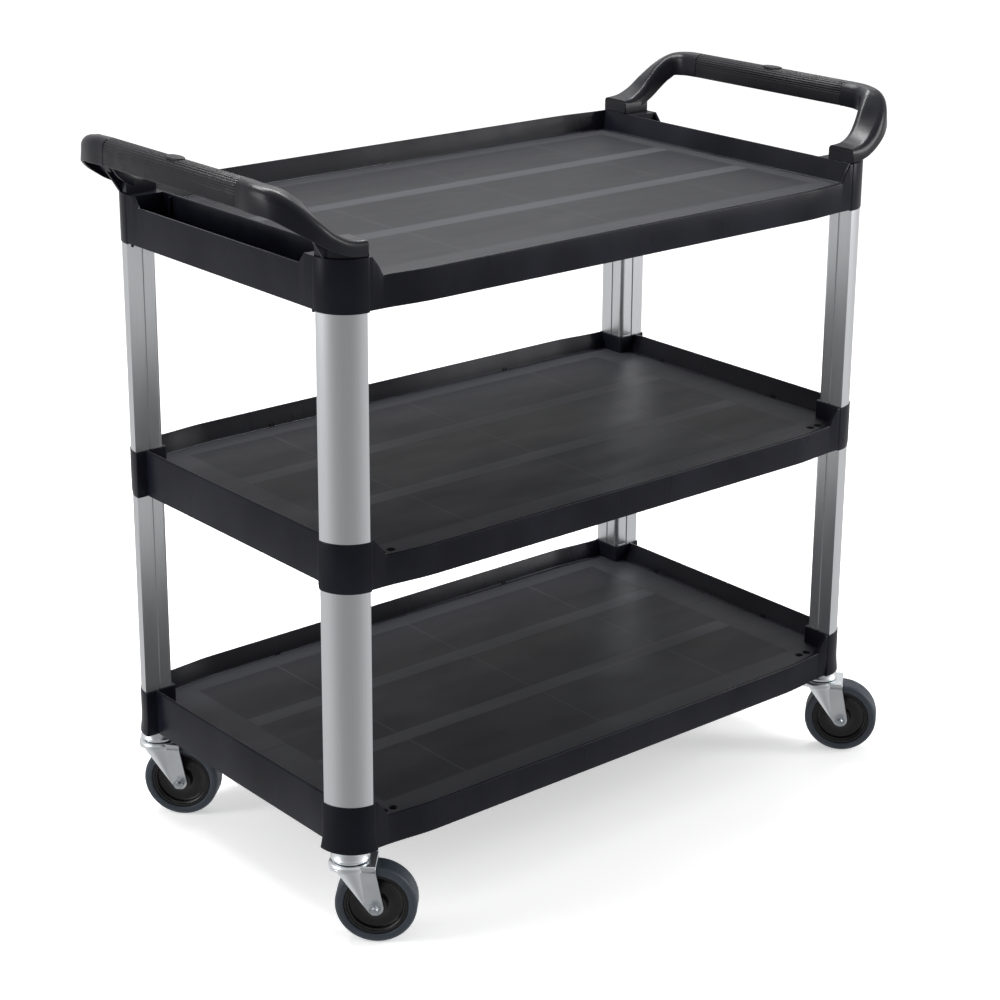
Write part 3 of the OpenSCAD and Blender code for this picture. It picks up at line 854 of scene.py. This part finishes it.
def handle_shape(side):
    """One handle's moulding: arms and grip core, foot blocks and webs."""
    stations = handle_stations()
    places = [Vector(s[:3]) for s in stations]
    last = len(stations) - 1
    half = []
    for i, s in enumerate(stations):
        heading = (places[min(last, i + 1)] - places[max(0, i - 1)]).normalized()
        ring = place_section(handle_section(*s[3:]), places[i], heading)
        if i == 0:
            foot = [(1 - FOOT_BEVEL / s[3]) * p + FOOT_BEVEL / s[3] * places[0] for p in ring]
            for row in (foot, ring):
                half.append([p + Vector((FOOT_LEAN * (p.z - TOP_Z), 0, 0)) for p in row])
            half[1] = [p + Vector((0.8 * MM, 0, 0)) for p in half[1]]
        else:
            half.append(ring)
    shape = Shape().loft(mirrored(half))
    foot_r = POST_LEG - 1.5 * MM
    back = -COLLAR_PAST + 1 * MM
    outline = arc(0, 0, foot_r, 0, 90, 24) + [(back, foot_r), (back, back), (foot_r, back)]
    for sy in (-1, 1):
        block = Shape().prism(outline, TOP_Z - FOOT_SINK, TOP_Z + FOOT_TALL, 0.6 * MM)
        shape.add(block.moved(corner_frame(1, sy)))
        shape.loft([[(x, sy * y, TOP_Z + up) for x, up in WEB] for y in WEB_YS])
    return shape.moved(Matrix.Diagonal((side, 1, 1, 1)))


RIDGE_START = 15 * MM
RIDGE_PITCH = 3.3 * MM
RIDGE_DEEP = 0.6 * MM


def sleeve_section(shrink):
    """Section of the grip sleeve, ridged over its top and the upper part of both sides."""
    r, low_r = 12 * MM, 3 * MM
    half, foot = GRIP_W / 2, -GRIP_H / 2
    plain = arc(-half + low_r, foot + low_r, low_r, 180, 270, 5)
    plain += arc(half - low_r, foot + low_r, low_r, 270, 360, 5)
    straight = GRIP_H - r - RIDGE_START
    turn = r * math.pi / 2
    flat = GRIP_W - 2 * r
    total = 2 * (straight + turn) + flat
    count = 150
    ridged = []
    for i in range(count + 1):
        along = total * i / count
        back = total - along
        side = 1 if along <= back else -1
        near = min(along, back)
        if near < straight:
            p, n = Vector((side * half, foot + RIDGE_START + near)), Vector((side, 0))
        elif near < straight + turn:
            a = (near - straight) / r
            n = Vector((side * math.cos(a), math.sin(a)))
            p = Vector((side * (half - r), -foot - r)) + n * r
        else:
            p = Vector((side * (half - r - (near - straight - turn)), -foot))
            n = Vector((0, 1))
        fade = smooth(near / RIDGE_PITCH)
        dip = RIDGE_DEEP * (0.5 - 0.5 * math.cos(2 * math.pi * along / RIDGE_PITCH))
        ridged.append(p - n * dip * fade)
    points = [Vector(q) for q in plain] + ridged
    return [(q.x * (1 - shrink / half), q.y * (1 + shrink / foot)) for q in points]


def sleeve_shape(side):
    """Ridged sleeve round the grip."""
    heading = Vector((0, -1, 0))
    rings = []
    for y, shrink in ((SLEEVE_HALF, 0.8 * MM), (SLEEVE_HALF - 0.2 * MM, 0.3 * MM),
                      (SLEEVE_HALF - 0.8 * MM, 0.0), (0.0, 0.0)):
        section = [(-x, up) for x, up in sleeve_section(shrink)]
        rings.append(place_section(section, Vector((GRIP_X, y, GRIP_Z)), heading))
    return Shape().loft(mirrored(rings)).moved(Matrix.Diagonal((side, 1, 1, 1)))


def pad_shape(side):
    """Raised oval on top of the grip."""
    long_r, short_r = 17 * MM, 8.5 * MM
    top = GRIP_Z + GRIP_H / 2 + PAD_H
    rings = []
    for up, grow in ((-3 * MM, 0.0), (-0.7 * MM, 0.0), (-0.2 * MM, -0.25 * MM),
                     (0.0, -0.8 * MM)):
        ring = []
        for i in range(48):
            a = 2 * math.pi * i / 48
            ring.append((side * GRIP_X + (short_r + grow) * math.cos(a),
                         (long_r + grow) * math.sin(a), top + up))
        rings.append(ring)
    return Shape().loft(rings)


def handle(name, side):
    """One handle's frame, sleeve and pad."""
    piece(name + "_frame", handle_shape(side), HANDLE_PLASTIC, [name])
    piece(name + "_sleeve", sleeve_shape(side), GRIP_PLASTIC)
    piece(name + "_pad", pad_shape(side), GRIP_PLASTIC)


# ---------- castors ----------

WHEEL_R = high("tyre_front_left", 2) / 2
TREAD_HALF = 16 * MM
HUB_R = 40 * MM
CROWN_TOP = 106.3 * MM
CROWN_R = 27 * MM
CROWN_END = 33 * MM
LEG_OUT = 22 * MM
SHEET = 3 * MM
LEG_END_R = 10 * MM
# cone between a leg's front edge and its flat: angle either side, width at the crown
CONE_TURN = 34
CONE_WIDTH = 30 * MM


def caster_frame(corner):
    """Castor's own frame, +X towards its trailing wheel, and the distance it trails."""
    pivot = Vector(JOINTS["swivel_" + corner]["pos_m"])
    axle = Vector(JOINTS["roll_" + corner]["pos_m"])
    run = Vector((axle.x - pivot.x, axle.y - pivot.y))
    turn = Matrix.Rotation(math.atan2(run.y, run.x), 4, "Z")
    return Matrix.Translation((pivot.x, pivot.y, 0)) @ turn, run.length


def axle_frame(corner):
    """Frame on the wheel's centre with Z along the axle, towards the nut."""
    base, trail = caster_frame(corner)
    return base @ Matrix.Translation((trail, 0, WHEEL_R)) @ Matrix.Rotation(
        math.pi / 2, 4, "X")


def race_shape(base):
    """Fixed upper race: a pressed dome over the ball ring, with its neck."""
    z = CROWN_TOP + 1.5 * MM
    roll = 2.8 * MM
    top = SHELF_LOW["bottom_shelf"]
    profile = [(0, z)] + arc(24.5 * MM - roll, z + roll, roll, -90, 50, 9)
    profile += [(22.9 * MM, z + 6.2 * MM), (21.8 * MM, z + 9.0 * MM),
                (21.2 * MM, z + 12.0 * MM), (21.2 * MM, top + 2 * MM), (0, top + 2 * MM)]
    return Shape().lathe(profile, 64, base)


def rivet_shape(base):
    """Rivet head under the crown."""
    z = CROWN_TOP - 7 * MM
    profile = [(0, z)] + arc(7.5 * MM, z + 1.5 * MM, 1.5 * MM, -90, 0, 4)
    return Shape().lathe(profile + [(9 * MM, z + 3.4 * MM), (0, z + 3.4 * MM)], 40, base)


def leg_rows(trail):
    """Rows of a leg in side view, from the crown to its round end: (front x, back x, z)."""
    centre = Vector((trail, WHEEL_R))
    front_top, back_top = Vector((-16 * MM, 100 * MM)), Vector((31.5 * MM, 105 * MM))

    def tangent(p, turn):
        d = p - centre
        a = math.atan2(d.y, d.x) + turn * math.acos(LEG_END_R / d.length)
        return centre + LEG_END_R * Vector((math.cos(a), math.sin(a)))

    front_end, back_end = tangent(front_top, 1), tangent(back_top, -1)

    def edge_x(a, b, z, outward):
        if z > b.y:
            return a.x + (b.x - a.x) * (z - a.y) / (b.y - a.y)
        return centre.x + outward * math.sqrt(max(0.0, LEG_END_R ** 2 - (z - centre.y) ** 2))

    top = CROWN_TOP - 5.5 * MM
    heights = [top + (back_end.y - top) * i / 12 for i in range(12)]
    first = math.asin((back_end.y - centre.y) / LEG_END_R)
    last = -math.pi / 2 + 0.03
    heights += [centre.y + LEG_END_R * math.sin(first + (last - first) * i / 18)
                for i in range(19)]
    return [(edge_x(front_top, front_end, z, -1), edge_x(back_top, back_end, z, 1), z)
            for z in heights]


def leg_shape(side, trail):
    """Pressed leg: a cone that runs down from the round crown, and a flat behind it."""
    rows = leg_rows(trail)
    top = rows[0][2]
    turn = math.radians(CONE_TURN)
    rings = []
    for x0, x1, z in rows:
        t = max(0.0, (z - WHEEL_R) / (top - WHEEL_R))
        width = max(0.03 * (x1 - x0), t * CONE_WIDTH)
        r = width / (2 * math.sin(turn))
        points = []
        for k in range(11):
            a = turn * (k / 5 - 1)
            bulge = r * (math.cos(a) - math.cos(turn)) * smooth(t / 0.15)
            points.append((x0 + width * k / 10, LEG_OUT + bulge))
        points += [(x0 + width + (x1 - x0 - width) * k / 3, LEG_OUT) for k in (1, 2, 3)]
        ring = [(x, side * y, z) for x, y in points]
        rings.append(ring + [(x, side * (y - SHEET), z) for x, y in reversed(points)])
    return Shape().loft(rings)


def crown_shape():
    """Pressed crown: a round dished plate with a tail over the wheel."""
    roll = 5 * MM
    shape = Shape()
    rings = []
    first, steps = math.radians(38), 56
    sweep = 2 * math.pi - 2 * first
    for i in range(steps + 1):
        a = first + sweep * i / steps
        ahead = smooth((1 - math.cos(a - math.pi)) / 0.35)
        low_z = 93.0 * MM + 4.5 * MM * ahead
        taper = 1.5 * MM * (1 - ahead)
        outer = arc(CROWN_R - roll, CROWN_TOP - roll, roll, 90, 0, 7)
        outer += [(CROWN_R - 0.3 * taper, 0.5 * (CROWN_TOP - roll + low_z)),
                  (CROWN_R - taper, low_z + 0.8 * MM), (CROWN_R - taper - 0.8 * MM, low_z)]
        inner = [(CROWN_R - taper - SHEET + 0.8 * MM, low_z),
                 (CROWN_R - taper - SHEET, low_z + 0.8 * MM)]
        inner += arc(CROWN_R - roll, CROWN_TOP - roll, roll - SHEET, 0, 90, 5)
        section = [(4 * MM, CROWN_TOP)] + outer + inner + [(4 * MM, CROWN_TOP - SHEET)]
        rings.append([(r * math.cos(a), r * math.sin(a), z) for r, z in section])
    shape.loft(rings)
    disc = arc(0, 0, 22.5 * MM, 0, 360, 48)[:-1]
    shape.loft([lift(disc, z)
                for z in (CROWN_TOP - SHEET + 0.1 * MM, CROWN_TOP - 0.02 * MM)])
    edge = 2.6 * MM
    low = 98 * MM
    tail = []
    for x, drop in ((6 * MM, 0.0), (CROWN_END - 2.4 * MM, 0.0), (CROWN_END - 0.6 * MM, 0.5 * MM),
                    (CROWN_END, 1.6 * MM)):
        top = CROWN_TOP - drop
        section = [(-LEG_OUT, low)]
        section += arc(-LEG_OUT + edge, top - edge, edge, 180, 90, 5)
        section += arc(LEG_OUT - edge, top - edge, edge, 90, 0, 5)
        section += [(LEG_OUT, low), (LEG_OUT - SHEET, low), (LEG_OUT - SHEET, top - SHEET),
                    (-LEG_OUT + SHEET, top - SHEET), (-LEG_OUT + SHEET, low)]
        tail.append([(x, y, z) for y, z in section])
    return shape.loft(tail)


def fork_piece(corner):
    """Crown and both legs, as one pressing."""
    base, trail = caster_frame(corner)
    shape = crown_shape()
    for side in (-1, 1):
        shape.add(leg_shape(side, trail))
    piece("fork_pressing_" + corner, shape.moved(base), ZINC,
          ["fork_" + corner], "swivel_" + corner, angle=26)


HUB_PROFILE = in_mm([
    (7.56, 18.2), (12.6, 18.2), (13.6, 17.6), (14.0, 16.2), (14.4, 7.4), (15.4, 6.4),
    (31.8, 6.4), (33.0, 7.2), (33.7, 9.6), (34.2, 11.2), (35.4, 11.7), (36.0, 12.9),
    (36.6, 13.8), (39.2, 14.0), (40, 13.2),
])
SHOULDER_R = 5 * MM


def both_sides(half):
    """Profile followed by its mirror image across the wheel's middle."""
    return half + [(r, -z) for r, z in reversed(half)]


def hub_shape(matrix):
    """Dished wheel centre with stepped rings, closed by its bore."""
    return Shape().lathe(both_sides(HUB_PROFILE), 96, matrix)


def tyre_shape(matrix):
    """Moulded tread with rounded shoulders and a fine bead where it meets the hub."""
    half = [(HUB_R, 13.6 * MM), (HUB_R + 0.5 * MM, 15.2 * MM), (HUB_R + 1.6 * MM, 15.9 * MM),
            (HUB_R + 3.4 * MM, TREAD_HALF)]
    half += arc(WHEEL_R - SHOULDER_R, TREAD_HALF - SHOULDER_R, SHOULDER_R, 90, 0, 8)
    return Shape().lathe(both_sides(half + [(WHEEL_R, 4 * MM)]), 128, matrix)


HEX_ACROSS = 13 * MM
HEX_CHAMFER = 0.7 * MM
HEAD_TALL = 5.3 * MM
NUT_TALL = 6.5 * MM
BOLT_R = 4 * MM
THREAD_PITCH = 1.15 * MM
THREAD_DEEP = 0.35 * MM
THREAD_TURNS = 8


def hexagon(z0, z1, chamfer_low, chamfer_high):
    """Rings of a hexagon nut or head, its corners taken off at either face."""
    outer = HEX_ACROSS / 2 / math.cos(math.pi / 6)
    levels = [(z0, 0.93), (z0 + HEX_CHAMFER, 1.0)] if chamfer_low else [(z0, 1.0)]
    levels += [(z1 - HEX_CHAMFER, 1.0), (z1, 0.93)] if chamfer_high else [(z1, 1.0)]
    rings = []
    for z, k in levels:
        ring = []
        for i in range(36):
            a = 2 * math.pi * i / 36
            flat = HEX_ACROSS / 2 / math.cos((a % (math.pi / 3)) - math.pi / 6)
            r = min(flat, outer * k)
            ring.append((r * math.cos(a), r * math.sin(a), z))
        rings.append(ring)
    return rings


def bolt_shape(matrix):
    """Axle bolt: head, shank and the thread that stands past the nut."""
    out = LEG_OUT
    shape = Shape().loft(hexagon(-out - HEAD_TALL, -out, True, False))
    shape.loft([lift(circle(0, 0, BOLT_R, 32), z) for z in (-out - 1 * MM, out)])
    rings = []
    for i in range(THREAD_TURNS * 4 + 1):
        depth = THREAD_DEEP * (0.5 - 0.5 * math.cos(2 * math.pi * i / 4))
        rings.append(lift(circle(0, 0, BOLT_R - depth, 20), out + i * THREAD_PITCH / 4))
    tip = out + THREAD_TURNS * THREAD_PITCH + 0.3 * MM
    rings.append(lift(circle(0, 0, BOLT_R - 0.8 * MM, 20), tip))
    return shape.loft(rings).moved(matrix)


def nut_shape(matrix):
    """Axle nut against the outside of the far leg."""
    return Shape().loft(hexagon(LEG_OUT, LEG_OUT + NUT_TALL, False, True)).moved(matrix)


def caster(corner):
    """Every visible piece of one castor."""
    base, _ = caster_frame(corner)
    axle = axle_frame(corner)
    swivel, wheel = "swivel_" + corner, "wheel_" + corner
    upper = race_shape(base).add(rivet_shape(base))
    piece("caster_race_" + corner, upper, ZINC, ["caster_stem_" + corner])
    fork_piece(corner)
    piece("wheel_centre_" + corner, hub_shape(axle), HUB,
          ["wheel_hub_" + corner], wheel, angle=50)
    piece("tread_" + corner, tyre_shape(axle), TREAD, ["tyre_" + corner],
          wheel, angle=50)
    piece("bolt_" + corner, bolt_shape(axle), STEEL, ["axle_bolt_" + corner],
          swivel)
    piece("nut_" + corner, nut_shape(axle), STEEL, ["axle_nut_" + corner],
          swivel)


# ---------- CAD nodes that are shown as they are ----------

def carried(names, material, edge=0.0):
    """Gives CAD nodes their material and, where asked, rounded edges."""
    for name in names:
        obj = frame["nodes"][name]
        obj.data.materials.clear()
        obj.data.materials.append(material)
        if edge:
            bevel = obj.modifiers.new("edges", "BEVEL")
            bevel.width = edge
            bevel.segments = 2
            bevel.limit_method = "ANGLE"
            bevel.angle_limit = math.radians(40)
            bevel.harden_normals = True


# ---------- stage ----------

FLOOR_GLOW = 0.52


def stage():
    """Pale floor that glows a little and stays out of glossy reflections."""
    bpy.ops.mesh.primitive_plane_add(size=40, location=(0, 0, -0.0005))
    floor = bpy.context.object
    floor.name = "studio_floor"
    n = Nodes("studio_floor", Roughness=0.8)
    soft = n.noise(0.6, detail=2)
    pale = n.mix(soft, (0.90, 0.90, 0.90), (0.92, 0.92, 0.92))
    n.feed(n.bsdf.inputs["Emission Color"], pale)
    n.bsdf.inputs["Emission Strength"].default_value = FLOOR_GLOW
    floor.data.materials.append(n.done(pale))
    floor.visible_glossy = False


def area_light(name, place, target, size, power):
    """Rectangular lamp aimed at a target."""
    light = bpy.data.lights.new(name, "AREA")
    light.shape = "RECTANGLE"
    light.size, light.size_y = size
    light.energy = power
    obj = bpy.data.objects.new(name, light)
    bpy.context.scene.collection.objects.link(obj)
    obj.location = place
    obj.rotation_euler = (Vector(target) - Vector(place)).to_track_quat("-Z", "Y").to_euler()


# the card's start and end, as cosines from the camera's side, and the room's strength there
CARD_RANGE = (0.30, 0.92, 0.66, 0.31)


def studio_world():
    """White room with a dark card behind the camera's place; white where it is seen directly."""
    world = bpy.data.worlds.new("studio")
    world.use_nodes = True
    tree = world.node_tree
    back = tree.nodes["Background"]

    def node(kind, **props):
        made = tree.nodes.new(kind)
        for key, value in props.items():
            setattr(made, key, value)
        return made

    coord = node("ShaderNodeTexCoord")
    facing = node("ShaderNodeVectorMath", operation="DOT_PRODUCT")
    facing.inputs[1].default_value = (math.sin(CAMERA_AZIMUTH), -math.cos(CAMERA_AZIMUTH), 0.0)
    tree.links.new(coord.outputs["Generated"], facing.inputs[0])
    card = node("ShaderNodeMapRange", interpolation_type="SMOOTHSTEP")
    for socket, value in zip(card.inputs[1:5], CARD_RANGE):
        socket.default_value = value
    tree.links.new(facing.outputs["Value"], card.inputs["Value"])
    path = node("ShaderNodeLightPath")
    pick = node("ShaderNodeMix", data_type="FLOAT")
    tree.links.new(path.outputs["Is Camera Ray"], pick.inputs[0])
    tree.links.new(card.outputs["Result"], pick.inputs[2])
    pick.inputs[3].default_value = 1.0
    tree.links.new(pick.outputs[0], back.inputs["Strength"])
    back.inputs["Color"].default_value = (1, 1, 1, 1)
    bpy.context.scene.world = world


def lights():
    """Soft lamps above and to both sides."""
    area_light("overhead", (0.2, 0.9, 2.7), (0, 0, 0.5), (2.6, 0.35), 70)
    area_light("rear_strip", (1.5, 1.7, 2.3), (0, 0, 0.7), (2.4, 0.25), 5)
    area_light("left_bank", (-2.9, 1.0, 1.5), (0, 0, 0.6), (0.9, 2.2), 34)
    area_light("right_bank", (2.6, -2.2, 1.6), (0, 0, 0.6), (0.8, 2.2), 52)


CAMERA_AT = (-1.9386, -2.2960, 1.5179)
CAMERA_AZIMUTH = math.radians(-40.13)
CAMERA_ELEVATION = math.radians(17.77)
CAMERA_ROLL = math.radians(0.38)
CAMERA_LENS = 84.81
CAMERA_SHIFT_Y = -0.10


def camera():
    """Camera at the photograph's viewing angle."""
    cam = bpy.data.cameras.new("camera")
    cam.lens = CAMERA_LENS
    cam.sensor_width = 36
    cam.shift_y = CAMERA_SHIFT_Y
    cam.clip_start = 0.05
    obj = bpy.data.objects.new("camera", cam)
    bpy.context.scene.collection.objects.link(obj)
    turn = Matrix.Rotation(CAMERA_AZIMUTH, 4, "Z") @ Matrix.Rotation(
        math.pi / 2 - CAMERA_ELEVATION, 4, "X") @ Matrix.Rotation(CAMERA_ROLL, 4, "Z")
    obj.matrix_world = Matrix.Translation(CAMERA_AT) @ turn
    bpy.context.scene.camera = obj
    bpy.context.scene.view_settings.view_transform = "Standard"


# ---------- assembly ----------

lower_shelf("bottom_shelf", [(0.0, 1.2 * MM), (0.8 * MM, 2.2 * MM), (14 * MM, 0.6 * MM),
                             (26 * MM, 0.0)])
lower_shelf("middle_shelf", [(0.0, -1.0 * MM), (2.5 * MM, -0.5 * MM), (8 * MM, 0.0)])
top_shelf()
handle("handle_left", -1)
handle("handle_right", 1)
for corner in CORNERS:
    caster(corner)
    carried([f"lower_post_{corner}", f"upper_post_{corner}"], ALUMINIUM, 0.4 * MM)
    # ball rings painted near black as the shade in the gap between race and crown
    carried([f"ball_ring_{corner}"], PAINTED_SHADE_STEEL)
    carried([f"axle_bush_{corner}"], STEEL)
carried(["handle_screws"], STEEL)
stage()
studio_world()
lights()
camera()
